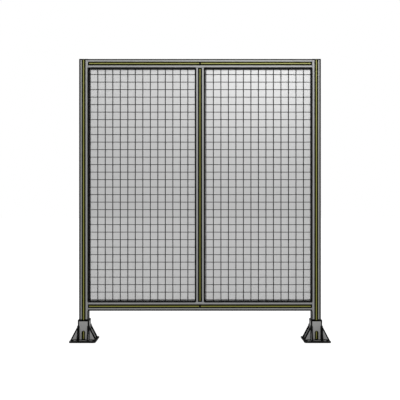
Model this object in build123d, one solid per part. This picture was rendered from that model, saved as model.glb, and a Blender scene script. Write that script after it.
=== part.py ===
from build123d import *
import os

os.makedirs("parts", exist_ok=True)

# The panel stands across the X axis and is looked at along +Y. The origin is the centre of the
# left foot's underside, Z is up, and both posts stand centred on Y = 0. All sizes are millimetres.

# Outline of the whole panel
panel_width = 1200.0
panel_height = 1400.0
ground_gap = 150.0

# Square aluminium extrusion with a T-slot in each side
profile_side = 45.0
profile_corner_radius = 3.0
lip_thickness = 4.5
lip_overhang = 5.25
mouth_chamfer = 1.0
chamber_shoulder = 3.5
slot_depth = 14.5
slot_floor_width = 12.0
core_bore_radius = 5.0
cavity_side = 6.5
cavity_wall = 2.3

# Infill: welded wire mesh in front of a clear sheet; the upright wires are the thicker ones
upright_wire_diameter = 4.0
level_wire_diameter = 3.0
mesh_pitch = 37.5
mesh_margin = 6.9
wire_insertion = 9.0
sheet_thickness = 2.0
sheet_insertion = 10.0

# Rubber seal that holds the infill in the slots
seal_wall = 0.5
seal_lip_height = 3.5
seal_lip_spread = 2.0
seal_crest_wall = 1.0
seal_barb_width = 3.0
seal_floor = 2.0
seal_toe_width = 11.0

# Snap-in cover strip that closes a slot flush with the face
cover_clearance = 0.1
cover_groove_width = 2.5
cover_groove_depth = 3.0
cover_wall = 1.4
cover_leg_width = 1.7
cover_barb_reach = 0.7
cover_barb_height = 1.0
cover_toe_height = 1.5
cover_toe_taper = 0.3
cover_joint_gap = 2.0

# Welded floor foot: a base plate and four crossed gusset walls that form the post's socket
plate_side = 130.0
plate_thickness = 6.0
plate_corner_radius = 10.0
anchor_spacing = 90.0
anchor_hole_radius = 4.5
foot_wall = 5.0
socket_height = 105.0
gusset_height = 78.0
notch_width = 12.0
notch_top = 50.0

# Places worked out from the sizes above
half_side = profile_side / 2
right_post_x = panel_width - profile_side
mullion_x = right_post_x / 2
top_rail_z = panel_height - half_side
bottom_rail_z = ground_gap + half_side
rail_start_x = half_side
rail_length = right_post_x - profile_side
bay_bottom = ground_gap + profile_side
bay_top = panel_height - profile_side
bay_height = bay_top - bay_bottom
bay_width = (rail_length - profile_side) / 2
bay_lefts = {"left": rail_start_x, "right": mullion_x + half_side}
infill_thickness = sheet_thickness + upright_wire_diameter + level_wire_diameter
slot_mouth = infill_thickness + 2 * seal_wall
slot_angles = {"rear": 0, "left": 90, "front": 180, "right": 270}

# A member lying along X is an upright one turned over, so that its left slot comes to face upwards.
lying = Rot(0, 90, 0)


def save(solid, name):
    """Write one sub-part to its own file."""
    export_step(solid, f"parts/{name}.step")


def mirrored_section(right_half):
    """A section symmetric about a slot's centre line, from the outline of its right half."""
    left_half = [(-across, out) for across, out in reversed(right_half)]
    return make_face(Polyline(*right_half, *left_half, close=True))


def slot_section():
    """The T-slot that is cut into the side of the profile that faces +Y."""
    mouth = slot_mouth / 2
    chamber = mouth + lip_overhang
    lip_back = half_side - lip_thickness
    return mirrored_section([
        (mouth + mouth_chamfer, half_side),
        (mouth, half_side - mouth_chamfer),
        (mouth, lip_back),
        (chamber, lip_back),
        (chamber, lip_back - chamber_shoulder),
        (slot_floor_width / 2, half_side - slot_depth),
    ])


def profile_section():
    """The extrusion: four T-slots, a round core bore and a hollow in each corner."""
    section = RectangleRounded(profile_side, profile_side, profile_corner_radius)
    for angle in slot_angles.values():
        section -= Rot(0, 0, angle) * slot_section()
    section -= Circle(core_bore_radius)
    cavity_spacing = profile_side - 2 * cavity_wall - cavity_side
    for place in GridLocations(cavity_spacing, cavity_spacing, 2, 2):
        section -= place * Rectangle(cavity_side, cavity_side)
    return section


def cover_section():
    """A cover strip in the slot that faces +Y: a raised crown flush with the face, and barbed legs."""
    shoulder = slot_mouth / 2 - cover_clearance
    crown = slot_mouth / 2 - cover_groove_width
    barb = slot_mouth / 2 + cover_barb_reach
    leg_inside = shoulder - cover_leg_width
    hollow = crown - cover_wall
    groove_floor = half_side - cover_groove_depth
    lip_back = half_side - lip_thickness
    toe = lip_back - cover_barb_height - cover_toe_height
    return mirrored_section([
        (crown, half_side),
        (crown, groove_floor),
        (shoulder, groove_floor),
        (shoulder, lip_back),
        (barb, lip_back),
        (barb, lip_back - cover_barb_height),
        (shoulder - cover_toe_taper, toe),
        (leg_inside, toe),
        (leg_inside, lip_back),
        (hollow, lip_back),
        (hollow, half_side - cover_wall),
    ])


def seal_section():
    """The seal in the slot that faces +Y: a channel round the infill's edge, barbed behind the lips."""
    groove = infill_thickness / 2
    mouth = slot_mouth / 2
    lip_back = half_side - lip_thickness
    groove_floor = half_side - sheet_insertion
    return mirrored_section([
        (groove, groove_floor),
        (groove, half_side + seal_lip_height),
        (groove + seal_crest_wall, half_side + seal_lip_height),
        (mouth + seal_lip_spread, half_side),
        (mouth, half_side),
        (mouth, lip_back),
        (mouth + seal_barb_width, lip_back),
        (mouth + seal_barb_width, lip_back - chamber_shoulder),
        (seal_toe_width / 2, groove_floor - seal_floor),
    ])


def wire_section(diameter):
    """A wire, drawn with eight flats so that crossing wires lie flat on each other."""
    return RegularPolygon(diameter / 2, 8, major_radius=False, rotation=22.5)


def upright_piece(section, x, bottom, top):
    """A length of any section standing on end."""
    return Pos(x, 0, bottom) * extrude(section, top - bottom)


def lying_piece(section, left, right, z):
    """A length of any section lying along the panel."""
    return Pos(left, 0, z) * lying * extrude(section, right - left)


def turned(section, side):
    """A strip's section, turned about the member's axis to the slot on one of its sides."""
    return Rot(0, 0, slot_angles[side]) * section


def make_frame():
    """Two posts, two rails between them and a mullion between the rails."""
    section = profile_section()
    for side, x in (("left", 0), ("right", right_post_x)):
        save(upright_piece(section, x, plate_thickness, panel_height), f"{side}_post")
    rail_end_x = rail_start_x + rail_length
    save(lying_piece(section, rail_start_x, rail_end_x, top_rail_z), "top_rail")
    save(lying_piece(section, rail_start_x, rail_end_x, bottom_rail_z), "bottom_rail")
    save(upright_piece(section, mullion_x, bay_bottom, bay_top), "centre_mullion")


def make_covers():
    """Yellow strips in every slot that holds no infill."""
    section = cover_section()
    rail_end_x = rail_start_x + rail_length
    for face in ("front", "rear"):
        strip = turned(section, face)
        for side, x in (("left", 0), ("right", right_post_x)):
            post_strip = upright_piece(strip, x, plate_thickness, panel_height)
            save(post_strip, f"{side}_post_{face}_cover")
        save(upright_piece(strip, mullion_x, bay_bottom, bay_top), f"mullion_{face}_cover")
        for rail, z in (("top", top_rail_z), ("bottom", bottom_rail_z)):
            left_strip = lying_piece(strip, rail_start_x, mullion_x - cover_joint_gap / 2, z)
            right_strip = lying_piece(strip, mullion_x + cover_joint_gap / 2, rail_end_x, z)
            save(left_strip, f"{rail}_rail_left_{face}_cover")
            save(right_strip, f"{rail}_rail_right_{face}_cover")
    for side, x in (("left", 0), ("right", right_post_x)):
        outer_strip = turned(section, side)
        save(upright_piece(outer_strip, x, socket_height, panel_height), f"{side}_post_outer_cover")
    upper_strip = lying_piece(turned(section, "left"), rail_start_x, rail_end_x, top_rail_z)
    save(upper_strip, "top_rail_upper_cover")
    under_strip = lying_piece(turned(section, "right"), rail_start_x, rail_end_x, bottom_rail_z)
    save(under_strip, "bottom_rail_under_cover")


def make_seals(bay, bay_left):
    """Four lengths of seal round one bay; the side lengths stand between the level ones."""
    section = seal_section()
    bay_right = bay_left + bay_width
    upper = lying_piece(turned(section, "right"), bay_left, bay_right, top_rail_z)
    lower = lying_piece(turned(section, "left"), bay_left, bay_right, bottom_rail_z)
    side_bottom = bay_bottom + seal_lip_height
    side_top = bay_top - seal_lip_height
    left_x = bay_left - half_side
    right_x = bay_right + half_side
    left = upright_piece(turned(section, "right"), left_x, side_bottom, side_top)
    right = upright_piece(turned(section, "left"), right_x, side_bottom, side_top)
    save(upper, f"{bay}_bay_top_seal")
    save(lower, f"{bay}_bay_bottom_seal")
    save(left, f"{bay}_bay_left_seal")
    save(right, f"{bay}_bay_right_seal")


def make_mesh(bay, bay_left):
    """Two layers of wire, upright ones in front and level ones welded behind them."""
    upright_layer_y = -infill_thickness / 2 + upright_wire_diameter / 2
    level_layer_y = upright_layer_y + (upright_wire_diameter + level_wire_diameter) / 2
    upright_count = int((bay_width - mesh_margin) / mesh_pitch) + 1
    level_count = int((bay_height - mesh_margin) / mesh_pitch) + 1
    upright_wire = extrude(wire_section(upright_wire_diameter), bay_height + 2 * wire_insertion)
    level_wire = lying * extrude(wire_section(level_wire_diameter), bay_width + 2 * wire_insertion)
    uprights = []
    for index in range(upright_count):
        x = bay_left + mesh_margin + index * mesh_pitch
        uprights.append(Pos(x, upright_layer_y, bay_bottom - wire_insertion) * upright_wire)
    levels = []
    for index in range(level_count):
        z = bay_bottom + mesh_margin + index * mesh_pitch
        levels.append(Pos(bay_left - wire_insertion, level_layer_y, z) * level_wire)
    save(Compound(uprights), f"{bay}_mesh_uprights")
    save(Compound(levels), f"{bay}_mesh_crosswires")


def make_sheet(bay, bay_left):
    """The clear sheet behind the mesh, with its edges in the seals."""
    sheet_y = infill_thickness / 2 - sheet_thickness / 2
    width = bay_width + 2 * sheet_insertion
    height = bay_height + 2 * sheet_insertion
    centre = Pos(bay_left + bay_width / 2, sheet_y, bay_bottom + bay_height / 2)
    save(centre * Box(width, sheet_thickness, height), f"{bay}_clear_sheet")


def gusset_wall():
    """One socket wall with a sloping wing on each side and a round-topped notch, centred on Y = 0."""
    socket = half_side + foot_wall
    reach = plate_side / 2
    wall = make_face(Polyline(
        (-reach, plate_thickness),
        (-socket, gusset_height),
        (-socket, socket_height),
        (socket, socket_height),
        (socket, gusset_height),
        (reach, plate_thickness),
        close=True,
    ))
    arch_z = notch_top - notch_width / 2
    notch_height = arch_z - plate_thickness
    wall -= Pos(0, plate_thickness + notch_height / 2) * Rectangle(notch_width, notch_height)
    wall -= Pos(0, arch_z) * Circle(notch_width / 2)
    return extrude(Plane.XZ * wall, amount=foot_wall / 2, both=True)


def make_foot(side, x):
    """A floor foot: the base plate with its anchor holes and the four crossed walls."""
    plate = extrude(RectangleRounded(plate_side, plate_side, plate_corner_radius), plate_thickness)
    for place in GridLocations(anchor_spacing, anchor_spacing, 2, 2):
        hole = Pos(0, 0, plate_thickness / 2) * Cylinder(anchor_hole_radius, plate_thickness)
        plate -= place * hole
    foot = plate
    for angle in slot_angles.values():
        foot += Rot(0, 0, angle) * Pos(0, half_side + foot_wall / 2, 0) * gusset_wall()
    save(Pos(x, 0, 0) * foot, f"{side}_foot")


make_frame()
make_covers()
for bay_name, bay_start in bay_lefts.items():
    make_seals(bay_name, bay_start)
    make_mesh(bay_name, bay_start)
    make_sheet(bay_name, bay_start)
make_foot("left", 0)
make_foot("right", right_post_x)
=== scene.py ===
import math

import bmesh
import bpy
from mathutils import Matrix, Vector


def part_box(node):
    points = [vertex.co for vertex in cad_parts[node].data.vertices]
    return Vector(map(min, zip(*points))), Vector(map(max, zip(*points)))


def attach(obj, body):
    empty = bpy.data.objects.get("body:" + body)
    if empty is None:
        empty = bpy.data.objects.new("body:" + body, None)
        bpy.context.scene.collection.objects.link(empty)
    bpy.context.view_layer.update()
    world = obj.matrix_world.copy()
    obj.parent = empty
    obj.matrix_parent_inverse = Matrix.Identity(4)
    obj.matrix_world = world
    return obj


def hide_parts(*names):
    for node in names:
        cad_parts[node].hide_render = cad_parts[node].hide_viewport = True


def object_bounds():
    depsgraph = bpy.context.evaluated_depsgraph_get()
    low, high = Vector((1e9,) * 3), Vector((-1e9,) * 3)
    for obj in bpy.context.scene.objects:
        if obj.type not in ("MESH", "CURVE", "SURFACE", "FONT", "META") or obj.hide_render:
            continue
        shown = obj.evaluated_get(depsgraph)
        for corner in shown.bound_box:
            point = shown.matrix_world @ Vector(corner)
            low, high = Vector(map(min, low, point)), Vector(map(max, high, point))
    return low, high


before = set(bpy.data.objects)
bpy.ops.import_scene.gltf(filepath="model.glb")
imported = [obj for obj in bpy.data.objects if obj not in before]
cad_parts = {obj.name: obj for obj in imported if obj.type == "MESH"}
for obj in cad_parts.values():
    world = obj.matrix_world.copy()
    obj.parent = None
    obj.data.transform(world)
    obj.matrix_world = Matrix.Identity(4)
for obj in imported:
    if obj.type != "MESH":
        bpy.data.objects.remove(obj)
cad_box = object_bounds()

# The view: the panel is seen straight on from the front, with the camera at half its height and
# opposite its middle, so that all lines running back meet at the middle of the picture.
rail_low, rail_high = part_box("top_rail")
post_low, post_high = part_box("left_post")
middle_x = (rail_low.x + rail_high.x) / 2
front_y = post_low.y
camera_distance = 3.02
film_width = 36.0
focal_length = 54.8
lens = bpy.data.cameras.new("front_view")
lens.sensor_width = film_width
lens.lens = focal_length
camera = bpy.data.objects.new("front_view", lens)
camera.location = (middle_x, front_y - camera_distance, rail_high.z / 2)
camera.rotation_euler = (math.pi / 2, 0, 0)
bpy.context.scene.collection.objects.link(camera)
bpy.context.scene.camera = camera
bpy.context.scene.view_settings.view_transform = "Standard"

# The feet: a steel base plate with four crossed gusset walls welded on it, which form the socket of
# the post. They are powder coated grey all over, with painted shade as dark lines along their edges.
foot_low, foot_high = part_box("left_foot")
plate_half = (foot_high.x - foot_low.x) / 2
plate_top = 0.006
half_side = (post_high.x - post_low.x) / 2
wall_thickness = 0.005
socket_half = half_side + wall_thickness
gusset_height = 0.078
notch_half = 0.006
notch_arch = 0.044
foot_grey = (0.46, 0.46, 0.456, 1)
foot_grey_low = (0.42, 0.42, 0.416, 1)
# Near black for the painted shade on the feet's edges, rim and the walls between the gussets.
foot_painted_shade = (0.005, 0.005, 0.005, 1)
# How wide the bands of painted shade are on the walls, on the plate's rim and round the notches.
foot_shade_line = 0.0066
plate_shade_band = 0.019
notch_shade_line = 0.003
# How wide the edge of a dark line is, and how far off a face the painted shade starts and ends.
edge_fade = 0.0004
wall_gap = (0.0002, 0.0008)
post_gap = (0.0004, 0.001)
plate_gap = (0.0004, 0.0012)


class Nodes:
    """A node tree; node() adds any node, its settings first and then the values or links of its sockets."""

    def __init__(self, tree):
        self.tree = tree

    def node(self, kind, settings=None, sockets=None, output=0):
        made = self.tree.nodes.new(kind)
        for setting, value in (settings or {}).items():
            setattr(made, setting, value)
        for socket, value in (sockets or {}).items():
            self.feed(made.inputs[socket], value)
        return Reading(self, made.outputs[output])

    def feed(self, socket, value):
        if isinstance(value, Reading):
            self.tree.links.new(value.socket, socket)
        else:
            socket.default_value = value


class Reading:
    """One socket of a node tree. Arithmetic on it adds the Math nodes that work it out."""

    def __init__(self, nodes, socket):
        self.nodes = nodes
        self.socket = socket

    def maths(self, operation, *others):
        sockets = dict(enumerate((self, *others)))
        return self.nodes.node("ShaderNodeMath", {"operation": operation}, sockets)

    def __add__(self, other):
        return self.maths("ADD", other)

    def __sub__(self, other):
        return self.maths("SUBTRACT", other)

    def __rsub__(self, other):
        return self.maths("MULTIPLY_ADD", -1.0, other)

    def __mul__(self, other):
        return self.maths("MULTIPLY", other)

    def __abs__(self):
        return self.maths("ABSOLUTE")

    __radd__ = __add__
    __rmul__ = __mul__

    def least(self, other):
        return self.maths("MINIMUM", other)

    def most(self, other):
        return self.maths("MAXIMUM", other)

    def rise(self, low, high):
        """0 up to low, 1 from high on, and a smooth rise between."""
        sockets = {"Value": self, "From Min": low, "From Max": high}
        return self.nodes.node("ShaderNodeMapRange", {"interpolation_type": "SMOOTHSTEP"}, sockets)

    def clear_of(self, face, gap):
        """0 at a face and 1 clear of it; the gap says how far from the face the rise starts and ends."""
        return self.rise(face + gap[0], face + gap[1])

    def past(self, limit):
        """0 up to a limit and 1 just past it."""
        return self.rise(limit, limit + edge_fade)

    def reached(self, limit):
        """0 until just short of a limit and 1 from the limit on."""
        return self.rise(limit - edge_fade, limit)


class Finish(Nodes):
    """A procedural material that is read at each point's own place on the panel, in metres."""

    def __init__(self, name, **constants):
        self.material = bpy.data.materials.new(name)
        self.material.use_nodes = True
        super().__init__(self.material.node_tree)
        self.surface = self.tree.nodes["Principled BSDF"]
        self.shade(**constants)
        self.place = self.node("ShaderNodeTexCoord", output="Object")
        self.x, self.y, self.z = (self.part(self.place, axis) for axis in "XYZ")

    def part(self, vector, axis):
        return self.node("ShaderNodeSeparateXYZ", sockets={"Vector": vector}, output=axis)

    def facing(self, axis):
        """How squarely the surface faces along an axis, either way."""
        return abs(self.part(self.node("ShaderNodeNewGeometry", output="Normal"), axis))

    def shade(self, **sockets):
        for name, value in sockets.items():
            self.feed(self.surface.inputs[name.replace("_", " ")], value)

    def noise(self, per_metre, detail=2.0):
        """Noise with so many grains to the metre along X, Y and Z."""
        sized = self.node("ShaderNodeVectorMath", {"operation": "MULTIPLY"}, {0: self.place, 1: per_metre})
        return self.node("ShaderNodeTexNoise", sockets={"Vector": sized, "Scale": 1.0, "Detail": detail})

    def blend(self, share, first, second):
        """The first colour where share is 0, the second where it is 1. Colours have sockets 6, 7 and 2."""
        sockets = {0: share, 6: first, 7: second}
        return self.node("ShaderNodeMix", {"data_type": "RGBA"}, sockets, output=2)

    def relief(self, height, depth):
        return self.node("ShaderNodeBump", sockets={"Height": height, "Distance": depth})


def dress(node, finish):
    """Give a piece that came with the frame its finish."""
    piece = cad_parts[node]
    piece.data.materials.clear()
    piece.data.materials.append(finish.material)


def foot_coat(name):
    """Powder coat with a fine orange peel; painted shade darkens the walls' edges and round their notches.

    The plate's rim is painted dark as shade too, and so are the walls where the two front or the two
    rear gussets face each other.
    """
    low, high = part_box(name)
    coat = Finish(f"powder_coat_{name}", Specular_IOR_Level=0.3)
    out_x = abs(coat.x - (low.x + high.x) / 2)
    out_y = abs(coat.y)
    reach = out_x.most(out_y)
    beside = out_x.least(out_y)
    run = plate_half - socket_half
    drop = gusset_height - plate_top
    slope = math.hypot(run, drop)
    past_slope = (coat.z - gusset_height) * (run / slope) + (reach - socket_half) * (drop / slope)
    on_gusset = reach.clear_of(socket_half, wall_gap)
    # Painted shade: dark lines along the gussets' sloped edges, the socket's corners and the walls' tops.
    slope_line = past_slope.reached(-foot_shade_line) * on_gusset
    corner_line = beside.past(socket_half - foot_shade_line) * (1.0 - on_gusset)
    top_line = coat.z.past(high.z - foot_shade_line)
    # Painted shade: a dark ring round each notch.
    over_arch = (coat.z - notch_arch).most(0.0)
    from_notch = (beside * beside + over_arch * over_arch).maths("SQRT") - notch_half
    around_notch = 1.0 - from_notch.reached(notch_shade_line)
    # Painted shade on the walls where the two front or the two rear gussets face each other.
    between = out_y.clear_of(socket_half, wall_gap) * (1.0 - out_x.clear_of(half_side, post_gap))
    above_plate = coat.z.clear_of(plate_top, plate_gap)
    wall_shade_lines = slope_line.most(corner_line).most(top_line).most(around_notch).most(between) * above_plate
    # Painted shade: a dark band round the plate's rim.
    rim = (1.0 - above_plate) * reach.reached(plate_half - plate_shade_band)
    edges = wall_shade_lines.most(rim)
    cloud = coat.noise(per_metre=(9, 9, 9), detail=3.0)
    peel = coat.noise(per_metre=(900, 900, 900))
    grey = coat.blend(cloud.rise(low=0.35, high=0.65), foot_grey_low, foot_grey)
    # The painted shade is near black and made metallic, so that it reflects almost nothing.
    coat.shade(Base_Color=coat.blend(edges, grey, foot_painted_shade), Metallic=edges)
    coat.shade(Roughness=0.5 + 0.12 * peel, Normal=coat.relief(peel, depth=0.00006))
    return coat


for side in ("left", "right"):
    dress(f"{side}_foot", foot_coat(f"{side}_foot"))

# The welds of the feet: fillet beads laid by hand in short overlapping drops, along the walls on the
# base plate and up the corners where the walls cross. Their near-black colour is painted shade along the
# seams.
weld_painted_shade = (0.004, 0.004, 0.004, 1)
weld_painted_shade_patch = (0.012, 0.012, 0.0118, 1)
bead_pitch = 0.0026
bead_drop = (0.004, 0.004, 0.004)
bead_end = 0.004
bead_margin = 0.007


class Growth(Nodes):
    """A tree of geometry nodes with named inputs; bake() makes a plain mesh of what it grows."""

    def __init__(self, name, **sizes):
        super().__init__(bpy.data.node_groups.new(name, "GeometryNodeTree"))
        kinds = {int: "NodeSocketInt", float: "NodeSocketFloat", tuple: "NodeSocketVector"}
        kinds[bpy.types.Material] = "NodeSocketMaterial"
        self.tree.interface.new_socket("Geometry", in_out="OUTPUT", socket_type="NodeSocketGeometry")
        self.sizes = {}
        for label, value in sizes.items():
            socket = self.tree.interface.new_socket(label, in_out="INPUT", socket_type=kinds[type(value)])
            self.sizes[socket.identifier] = value
        self.entry = self.tree.nodes.new("NodeGroupInput")

    def __getitem__(self, label):
        return Reading(self, self.entry.outputs[label])

    def finish_with(self, shape, material):
        """Close the tree: real faces in place of instances, smooth, in one material."""
        real = self.node("GeometryNodeRealizeInstances", sockets={"Geometry": shape})
        smooth = self.node("GeometryNodeSetShadeSmooth", sockets={"Geometry": real})
        painted = self.node("GeometryNodeSetMaterial", sockets={"Geometry": smooth, "Material": material})
        leaving = self.tree.nodes.new("NodeGroupOutput")
        self.feed(leaving.inputs["Geometry"], painted)

    def bake(self, name):
        piece = bpy.data.objects.new(name, bpy.data.meshes.new(name))
        bpy.context.scene.collection.objects.link(piece)
        growing = piece.modifiers.new("growth", "NODES")
        growing.node_group = self.tree
        for identifier, value in self.sizes.items():
            growing[identifier] = value
        grown = piece.evaluated_get(bpy.context.evaluated_depsgraph_get())
        mesh = bpy.data.meshes.new_from_object(grown)
        piece.modifiers.remove(growing)
        piece.data = mesh
        return piece


def weld_coat():
    """Near-black weld beads with lighter patches, under a slightly glossy coat; the near black is painted
    shade along the seams.
    """
    coat = Finish("weld_coat", Specular_IOR_Level=0.2)
    patch = coat.noise(per_metre=(150, 150, 150), detail=3.0)
    # Both tones are near black, painted shade in the seams; the patches between them are random.
    coat.shade(Base_Color=coat.blend(patch.rise(low=0.5, high=0.7), weld_painted_shade, weld_painted_shade_patch))
    coat.shade(Roughness=0.4 + 0.25 * patch, Normal=coat.relief(patch, depth=0.0002))
    return coat


def weld_beads(name, seams, material):
    """Runs of overlapping drops, one run along each seam from its start to its end."""
    beads = Growth(name, Drop=bead_drop, Pitch=bead_pitch, Coat=material)
    runs = beads.node("GeometryNodeJoinGeometry")
    drop = beads.node("GeometryNodeMeshIcoSphere", sockets={"Radius": 1.0, "Subdivisions": 2})
    for start, end in seams:
        seam = beads.node("GeometryNodeCurvePrimitiveLine", sockets={"Start": start, "End": end})
        points = beads.node("GeometryNodeCurveToPoints", {"mode": "LENGTH"},
                            {"Curve": seam, "Length": beads["Pitch"]})
        run = beads.node("GeometryNodeInstanceOnPoints",
                         sockets={"Points": points, "Instance": drop, "Scale": beads["Drop"]})
        beads.tree.links.new(run.socket, runs.socket.node.inputs["Geometry"])
    beads.finish_with(runs, beads["Coat"])
    return beads.bake(name)


def foot_seams(centre_x):
    """The seams of one foot: each wall's on the plate, and the upright ones at the crossings."""
    inner, outer = half_side, socket_half
    tip = plate_half - bead_margin
    crossing_top = gusset_height - bead_end
    on_plate = [
        ((-inner, -outer), (inner, -outer)),
        ((outer, -outer), (tip, -outer)),
        ((-tip, -outer), (-outer, -outer)),
        ((outer, -inner), (tip, -inner)),
        ((-tip, -inner), (-outer, -inner)),
    ]
    corners = [(outer, -outer), (inner, -outer), (-inner, -outer)]
    quarter = [((*start, plate_top), (*end, plate_top)) for start, end in on_plate]
    quarter += [((*corner, plate_top), (*corner, crossing_top)) for corner in corners]
    seams = []
    for cos, sin in ((1, 0), (0, 1), (-1, 0), (0, -1)):
        for seam in quarter:
            seams.append([(centre_x + x * cos - y * sin, x * sin + y * cos, z) for x, y, z in seam])
    return seams


weld_finish = weld_coat()
for side in ("left", "right"):
    low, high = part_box(f"{side}_foot")
    welds = weld_beads(f"{side}_foot_welds", foot_seams((low.x + high.x) / 2), weld_finish.material)
    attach(welds, "root")

# The clamping screws: a zinc plated socket head screw and washer in the notch on each flank of a
# foot, driven into a nut in the post's slot.
zinc = (0.60, 0.61, 0.62, 1)
zinc_dull = (0.40, 0.41, 0.42, 1)
screw_height = 0.034
washer_bore = 0.0042
washer_radius = 0.0083
washer_thickness = 0.0016
head_radius = 0.0065
head_height = 0.008
head_bevel = 0.0008
key_flat = 0.003
key_depth = 0.004
round_steps = 24


def zinc_plate():
    """Bright zinc with duller patches."""
    plating = Finish("zinc_plate", Metallic=1.0)
    patch = plating.noise(per_metre=(220, 220, 220), detail=3.0)
    plating.shade(Base_Color=plating.blend(patch.rise(low=0.4, high=0.7), zinc, zinc_dull))
    plating.shade(Roughness=0.28 + 0.2 * patch, Normal=plating.relief(patch, depth=0.00005))
    return plating


def clamping_screw(name, seat, outward, material):
    """Washer, head with bevelled rim and hexagon socket, turned about the screw's axis along X."""
    head_top = washer_thickness + head_height
    profile = [
        (washer_bore, 0.0), (washer_radius, 0.0), (washer_radius, washer_thickness),
        (head_radius, washer_thickness), (head_radius, head_top - head_bevel),
        (head_radius - head_bevel, head_top), (key_flat, head_top), (key_flat, head_top - key_depth),
    ]
    key_side = math.pi / 3
    shape = bmesh.new()
    rings = []
    for radius, height in profile:
        ring = []
        for step in range(round_steps):
            angle = 2 * math.pi * step / round_steps
            reach = radius
            if radius == key_flat:
                reach = key_flat / math.cos((angle + key_side / 2) % key_side - key_side / 2)
            place = (seat[0] + outward * height, seat[1] + reach * math.cos(angle),
                     seat[2] + reach * math.sin(angle))
            ring.append(shape.verts.new(place))
        rings.append(ring)
    for inner, outer in zip(rings, rings[1:]):
        for step in range(round_steps):
            after = (step + 1) % round_steps
            shape.faces.new((inner[step], inner[after], outer[after], outer[step]))
    shape.faces.new(rings[0])
    shape.faces.new(rings[-1])
    bmesh.ops.recalc_face_normals(shape, faces=shape.faces)
    mesh = bpy.data.meshes.new(name)
    shape.to_mesh(mesh)
    shape.free()
    mesh.materials.append(material)
    screw = bpy.data.objects.new(name, mesh)
    bpy.context.scene.collection.objects.link(screw)
    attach(screw, "root")


screw_finish = zinc_plate()
for side in ("left", "right"):
    low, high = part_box(f"{side}_foot")
    for flank, outward in (("left", -1), ("right", 1)):
        seat_x = (low.x + high.x) / 2 + outward * socket_half
        clamping_screw(f"{side}_foot_{flank}_screw", (seat_x, 0.0, screw_height), outward,
                       screw_finish.material)

# The frame: square aluminium extrusions butted together, natural anodised to a satin grey. The die
# leaves fine lines along them. Their corners, slot lips and slots are painted dark as shade, and so
# are the posts at the top and just above the feet. The cut faces are sawn.
anodised = (0.465, 0.472, 0.465, 1)
anodised_streak = (0.398, 0.403, 0.398, 1)
# Near black for the painted shade on the extrusions.
painted_shade_black = (0.006, 0.006, 0.006, 1)
sawn = (0.66, 0.67, 0.67, 1)
sawn_facing = (0.6, 0.9)
die_lines = 1400
die_run = 6
skin_gap = (-0.0009, -0.0002)
side_fade = 0.001
# How wide the bands of painted shade are: lines on the corners and flanks, the lips, the posts' tops and
# collars.
inner_line = 0.0038
mullion_line = 0.0042
outer_line = 0.0076
top_rail_line = 0.0060
outer_flank_line = 0.0045
inner_flank_line = 0.0090
outer_lip = 0.0093
inner_lip = 0.0104
top_shade_width = 0.0055
above_foot_shade_width = 0.0035
butts = {
    "left_post": [("top_rail", 1), ("bottom_rail", 1)],
    "right_post": [("top_rail", -1), ("bottom_rail", -1)],
    "top_rail": [("centre_mullion", -1)],
    "bottom_rail": [("centre_mullion", 1)],
    "centre_mullion": [],
}


def extrusion_finish(name, lying, outer):
    """Anodised extrusion for one member, with its die lines and its painted shade laid along its own axis.

    outer is the side of the member that is the outline of the panel: 1, -1, or 0 for neither. The dark
    edges and lips of painted shade are wider or narrower there than toward the bays. The edges stop where a
    member butts.
    """
    low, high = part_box(name)
    metal = Finish(f"anodised_{name}", Metallic=1.0, Coat_Roughness=0.3, Coat_IOR=1.65)
    if lying:
        along, sideways = metal.x, metal.z - (low.z + high.z) / 2
        lines = metal.noise(per_metre=(die_run, die_lines, die_lines))
        facing_end = metal.facing("X")
    else:
        along, sideways = metal.z, metal.x - (low.x + high.x) / 2
        lines = metal.noise(per_metre=(die_lines, die_lines, die_run))
        facing_end = metal.facing("Z")
    across = abs(sideways)
    through = abs(metal.y)
    # Painted shade: all below the skin, the slots' insides and the lips' chamfers, is near black.
    shade_below_skin = 1.0 - across.most(through).clear_of(half_side, skin_gap)
    outer_side = (sideways * float(outer)).rise(0.0, side_fade)
    bay_line = inner_line if outer else mullion_line
    far_line = top_rail_line if name == "top_rail" else outer_line
    line = bay_line + (far_line - bay_line) * outer_side
    flank_line = inner_flank_line + (outer_flank_line - inner_flank_line) * outer_side
    # Painted shade: dark lines along the corners, wider on the panel's outline.
    corner = ((across + line).least(through + flank_line) - half_side).past(0.0)
    lip_reach = inner_lip + (outer_lip - inner_lip) * outer_side
    # Painted shade: dark bands along the slots' lips.
    lips = (lip_reach - across.least(through)).past(0.0)
    for other, toward in butts[name]:
        other_low, other_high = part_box(other)
        axis = 0 if lying else 2
        joined = along.past(other_low[axis]) * (1.0 - along.reached(other_high[axis]))
        joined = joined * (sideways * float(toward)).rise(0.0, side_fade)
        corner = corner * (1.0 - joined)
    if outer and not lying:
        # Painted shade on the outer posts: a dark band at the top and a collar just above the foot.
        shade_at_top = along.reached(high.z - top_shade_width)
        shade_above_foot = 1.0 - along.past(foot_high.z + above_foot_shade_width)
        corner = corner.most(shade_at_top).most(shade_above_foot)
    sawn_end = facing_end.rise(*sawn_facing)
    # All the painted shade together, left off the sawn ends.
    dark = shade_below_skin.most(corner).most(lips) * (1.0 - sawn_end)
    cloud = metal.noise(per_metre=(5, 5, 5), detail=3.0)
    streaks = (0.6 * lines + 0.4 * cloud).rise(low=0.35, high=0.65)
    face = metal.blend(sawn_end, metal.blend(streaks, anodised_streak, anodised), sawn)
    # The painted shade is near black and has no clear coat.
    metal.shade(Base_Color=metal.blend(dark, face, painted_shade_black))
    metal.shade(Roughness=0.58 + 0.1 * lines, Coat_Weight=1.0 - dark)
    metal.shade(Normal=metal.relief(lines, depth=0.00004))
    return metal


for member, outer in (("left_post", -1), ("right_post", 1), ("centre_mullion", 0)):
    dress(member, extrusion_finish(member, lying=False, outer=outer))
for member, outer in (("top_rail", 1), ("bottom_rail", -1)):
    dress(member, extrusion_finish(member, lying=True, outer=outer))

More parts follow.
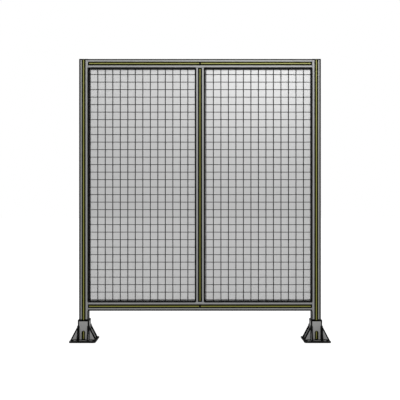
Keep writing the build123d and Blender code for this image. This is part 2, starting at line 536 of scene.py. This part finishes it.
# The slot covers: yellow plastic strips, extruded to length and pressed into the slots. The crown is
# satin and flush with the faces; the grooves beside it and the cut ends are painted near black as shade.
yellow = (0.27, 0.27, 0.042, 1)
yellow_low = (0.24, 0.24, 0.036, 1)
yellow_sheen = (1.0, 1.0, 0.45, 1)
# Near black for the painted shade in the grooves and at the strips' ends.
groove_painted_shade = (0.005, 0.005, 0.004, 1)
strip_lines = 700
strip_run = 4
crown_skin = 0.0002
crown_height = 0.0012
crown_half = 0.0025
# How long the painted shade is at the strips' ends, and how wide at the mullion strip's crown edges.
cut_end_shade = 0.0048
meeting_end_shade = 0.003
mullion_edge_shade = 0.0006
mullion_fade = 0.0002


def cover_finish(name):
    """Yellow strip: its crown is the skin of the member's face, and all below it is painted near black as
    shade.
    """
    low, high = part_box(name)
    size = high - low
    strip = Finish(f"yellow_{name}", Specular_IOR_Level=0.55, IOR=1.8, Specular_Tint=yellow_sheen)
    place = (strip.x, strip.y, strip.z)
    along = max(range(3), key=lambda axis: size[axis])
    outward = min(range(3), key=lambda axis: size[axis])
    per_metre = [strip_lines, strip_lines, strip_lines]
    per_metre[along] = strip_run
    lines = strip.noise(per_metre)
    middle = (middle_x, 0.0, (rail_low.z + rail_high.z) / 2)[outward]
    crown = max((low[outward], high[outward]), key=lambda face: abs(face - middle))
    # Painted shade: all below the crown, in the grooves, is near black.
    dark = abs(place[outward] - crown).rise(crown_skin, crown_height)
    # Painted shade at the cut ends, shorter where a strip meets another.
    for end, past_end in ((low, place[along] - low[along]), (high, high[along] - place[along])):
        meets = along == 0 and abs(end.x - middle_x) < cut_end_shade
        dark = dark.most(1.0 - past_end.past(meeting_end_shade if meets else cut_end_shade))
    # Painted shade along the edges of the mullion strip's crown.
    if name.startswith("mullion"):
        edge_start = crown_half - mullion_edge_shade
        dark = dark.most(abs(strip.x - middle_x).rise(edge_start, edge_start + mullion_fade))
    plastic = strip.blend(lines.rise(low=0.3, high=0.7), yellow_low, yellow)
    # The painted shade is near black and made metallic, so that it reflects almost nothing.
    strip.shade(Base_Color=strip.blend(dark, plastic, groove_painted_shade), Metallic=dark)
    strip.shade(Roughness=0.27 + 0.1 * lines, Normal=strip.relief(lines, depth=0.00003))
    return strip


covers = sorted(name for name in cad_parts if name.endswith("_cover"))
for cover in covers:
    dress(cover, cover_finish(cover))

# The sheets: one pane of clear plastic behind each mesh, lightly frosted, with its edges in the seals.
# It lets about half of the light through and takes a soft sheen from above.
sheet_grey = (0.292, 0.297, 0.297, 1)


def sheet_finish():
    """Frosted clear plastic with a strong soft sheen and faint clouds."""
    pane = Finish("frosted_sheet", Base_Color=sheet_grey, Specular_IOR_Level=1.0, IOR=2.5)
    cloud = pane.noise(per_metre=(3, 3, 3), detail=3.0)
    pane.shade(Alpha=0.46 + 0.02 * cloud, Roughness=0.32 + 0.03 * cloud)
    pane.shade(Normal=pane.relief(cloud, depth=0.0002))
    return pane


pane_finish = sheet_finish()
for side in ("left", "right"):
    dress(f"{side}_clear_sheet", pane_finish)

# The mesh: round steel wires, upright ones in front and level ones behind them, resistance welded
# where they cross and then powder coated black. Their ends lie in the seals.
wire_black = (0.004, 0.004, 0.004, 1)
wire_worn = (0.013, 0.013, 0.0127, 1)
wire_sides = 12
wire_sink = 0.0003
weld_size = (0.0028, 0.0022, 0.0024)
same_place = 0.00001


def wire_coat():
    """Black powder coat, a little thinner and greyer here and there."""
    coat = Finish("black_wire_coat", Specular_IOR_Level=0.2)
    patch = coat.noise(per_metre=(60, 60, 60), detail=3.0)
    peel = coat.noise(per_metre=(1200, 1200, 1200))
    coat.shade(Base_Color=coat.blend(patch.rise(low=0.55, high=0.75), wire_black, wire_worn))
    coat.shade(Roughness=0.32 + 0.2 * peel, Normal=coat.relief(peel, depth=0.00003))
    return coat


wire_finish = wire_coat()


def wire_rows(name, start, step, count, run, radius):
    """Like wires side by side, each running from its start."""
    rows = Growth(name, Start=start, Step=step, Count=count, Run=run, Radius=radius,
                  Sides=wire_sides, Coat=wire_finish.material)
    starts = rows.node("GeometryNodeMeshLine", {"mode": "OFFSET"},
                       {"Count": rows["Count"], "Start Location": rows["Start"], "Offset": rows["Step"]})
    line = rows.node("GeometryNodeCurvePrimitiveLine", sockets={"End": rows["Run"]})
    ring = rows.node("GeometryNodeCurvePrimitiveCircle",
                     sockets={"Resolution": rows["Sides"], "Radius": rows["Radius"]})
    wire = rows.node("GeometryNodeCurveToMesh",
                     sockets={"Curve": line, "Profile Curve": ring, "Fill Caps": True})
    placed = rows.node("GeometryNodeInstanceOnPoints", sockets={"Points": starts, "Instance": wire})
    rows.finish_with(placed, rows["Coat"])
    return rows.bake(name)


def weld_grid(name, start, across, up, columns, levels):
    """The weld spots, one at each crossing, where the two wires have sunk into each other."""
    grid = Growth(name, Start=start, Across=across, Up=up, Columns=columns, Levels=levels,
                  Size=weld_size, Coat=wire_finish.material)
    row = grid.node("GeometryNodeMeshLine", {"mode": "OFFSET"},
                    {"Count": grid["Columns"], "Start Location": grid["Start"], "Offset": grid["Across"]})
    column = grid.node("GeometryNodeMeshLine", {"mode": "OFFSET"},
                       {"Count": grid["Levels"], "Offset": grid["Up"]})
    rowed = grid.node("GeometryNodeInstanceOnPoints", sockets={"Points": row, "Instance": column})
    crossings = grid.node("GeometryNodeRealizeInstances", sockets={"Geometry": rowed})
    spot = grid.node("GeometryNodeMeshIcoSphere", sockets={"Radius": 1.0, "Subdivisions": 1})
    placed = grid.node("GeometryNodeInstanceOnPoints",
                       sockets={"Points": crossings, "Instance": spot, "Scale": grid["Size"]})
    grid.finish_with(placed, grid["Coat"])
    return grid.bake(name)


def solid_boxes(node):
    """The box of each separate bar of a node, from its loose pieces."""
    shape = bmesh.new()
    shape.from_mesh(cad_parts[node].data)
    bmesh.ops.remove_doubles(shape, verts=shape.verts, dist=same_place)
    waiting = set(shape.verts)
    boxes = []
    while waiting:
        front = [waiting.pop()]
        bar = []
        while front:
            vertex = front.pop()
            bar.append(vertex.co.copy())
            for edge in vertex.link_edges:
                other = edge.other_vert(vertex)
                if other in waiting:
                    waiting.remove(other)
                    front.append(other)
        boxes.append([[pick(point[axis] for point in bar) for axis in range(3)] for pick in (min, max)])
    shape.free()
    return sorted(boxes)


for side in ("left", "right"):
    uprights = solid_boxes(f"{side}_mesh_uprights")
    levels = sorted(solid_boxes(f"{side}_mesh_crosswires"), key=lambda box: box[0][2])
    upright_low, upright_high = uprights[0]
    level_low, level_high = levels[0]
    upright_radius = (upright_high[0] - upright_low[0]) / 2
    level_radius = (level_high[2] - level_low[2]) / 2
    upright_step = (uprights[1][0][0] - upright_low[0], 0.0, 0.0)
    level_step = (0.0, 0.0, levels[1][0][2] - level_low[2])
    upright_start = (upright_low[0] + upright_radius, upright_low[1] + upright_radius, upright_low[2])
    level_start = (level_low[0], level_low[1] + level_radius - wire_sink, level_low[2] + level_radius)
    upright_run = (0.0, 0.0, upright_high[2] - upright_low[2])
    level_run = (level_high[0] - level_low[0], 0.0, 0.0)
    standing = wire_rows(f"{side}_standing_wires", upright_start, upright_step, len(uprights),
                         upright_run, upright_radius)
    crossing = wire_rows(f"{side}_crossing_wires", level_start, level_step, len(levels),
                         level_run, level_radius)
    weld_start = (upright_start[0], upright_high[1], level_start[2])
    welds = weld_grid(f"{side}_mesh_welds", weld_start, upright_step, level_step,
                      len(uprights), len(levels))
    for piece in (standing, crossing, welds):
        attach(piece, "root")
    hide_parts(f"{side}_mesh_uprights")
    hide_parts(f"{side}_mesh_crosswires")

# The seals: matt black rubber pressed into the slots round each bay. They grip the edges of the mesh
# and the sheet, and their lips stand proud of the frame.
rubber_black = (0.004, 0.004, 0.004, 1)
rubber_dusty = (0.007, 0.007, 0.0067, 1)


def seal_finish():
    """Rubber with a dull bloom on it."""
    rubber = Finish("black_rubber", Specular_IOR_Level=0.15)
    bloom = rubber.noise(per_metre=(25, 25, 25), detail=4.0)
    grain = rubber.noise(per_metre=(2000, 2000, 2000))
    rubber.shade(Base_Color=rubber.blend(bloom.rise(low=0.45, high=0.8), rubber_black, rubber_dusty))
    rubber.shade(Roughness=0.7 + 0.15 * bloom, Normal=rubber.relief(grain, depth=0.00003))
    return rubber


rubber_finish = seal_finish()
for side in ("left", "right"):
    for edge in ("top", "bottom", "left", "right"):
        dress(f"{side}_bay_{edge}_seal", rubber_finish)

# The studio: a plain pale floor in front of a plain white surround, and two soft lamps high behind
# the camera, the stronger one on the right. None of it belongs to the panel.
floor_size = 40.0
floor_drop = 0.0005
floor_grey = (0.2, 0.2, 0.2, 1)
floor_glow = (0.31, 0.31, 0.31, 1)
floor_seen = (0.97, 0.97, 0.97, 1)
surround_white = (1, 1, 1, 1)
surround_light = 0.42
side_loss = 0.14
side_turn = (0.45, 0.9)
rear_gain = 0.25
rear_turn = (0.0, 0.6)
lamp_y = -7.0
lamp_tilt = 68


def make_floor():
    """A wide floor just under the feet, pale to look at and grey as light."""
    shape = bmesh.new()
    bmesh.ops.create_grid(shape, x_segments=1, y_segments=1, size=floor_size / 2)
    mesh = bpy.data.meshes.new("studio_floor")
    shape.to_mesh(mesh)
    shape.free()
    floor = bpy.data.objects.new("studio_floor", mesh)
    floor.location = (middle_x, 0, cad_box[0][2] - floor_drop)
    bpy.context.scene.collection.objects.link(floor)
    pale = Finish("pale_floor", Base_Color=floor_grey, Roughness=0.9, Emission_Strength=1.0)
    seen = pale.node("ShaderNodeLightPath", output="Is Camera Ray")
    pale.shade(Emission_Color=pale.blend(seen, floor_glow, floor_seen))
    mesh.materials.append(pale.material)


def make_surround():
    """White to look at; as light it is grey, a little dimmer at the sides and brighter behind."""
    world = bpy.data.worlds.new("studio")
    world.use_nodes = True
    bpy.context.scene.world = world
    sky = Nodes(world.node_tree)
    background = world.node_tree.nodes["Background"]
    way = sky.node("ShaderNodeTexCoord", output="Generated")
    right, back = (sky.node("ShaderNodeSeparateXYZ", sockets={"Vector": way}, output=axis) for axis in "XY")
    light = surround_light - side_loss * abs(right).rise(*side_turn)
    light = light + rear_gain * back.rise(*rear_turn)
    seen = sky.node("ShaderNodeLightPath", output="Is Camera Ray")
    sky.feed(background.inputs["Strength"], seen.most(light))
    background.inputs["Color"].default_value = surround_white


def soft_light(name, right, height, turn, size, power):
    """A lamp to the right of the panel's middle, tilted down at the panel and turned toward it."""
    lamp = bpy.data.lights.new(name, "AREA")
    lamp.shape = "RECTANGLE"
    lamp.size, lamp.size_y = size
    lamp.energy = power
    light = bpy.data.objects.new(name, lamp)
    light.location = (middle_x + right, lamp_y, height)
    light.rotation_euler = (math.radians(lamp_tilt), 0, math.radians(turn))
    bpy.context.scene.collection.objects.link(light)


make_floor()
make_surround()
soft_light("key", right=1.25, height=3.6, turn=10, size=(2.5, 2.1), power=100)
soft_light("fill", right=-2.0, height=3.5, turn=-15, size=(1.8, 1.6), power=24)
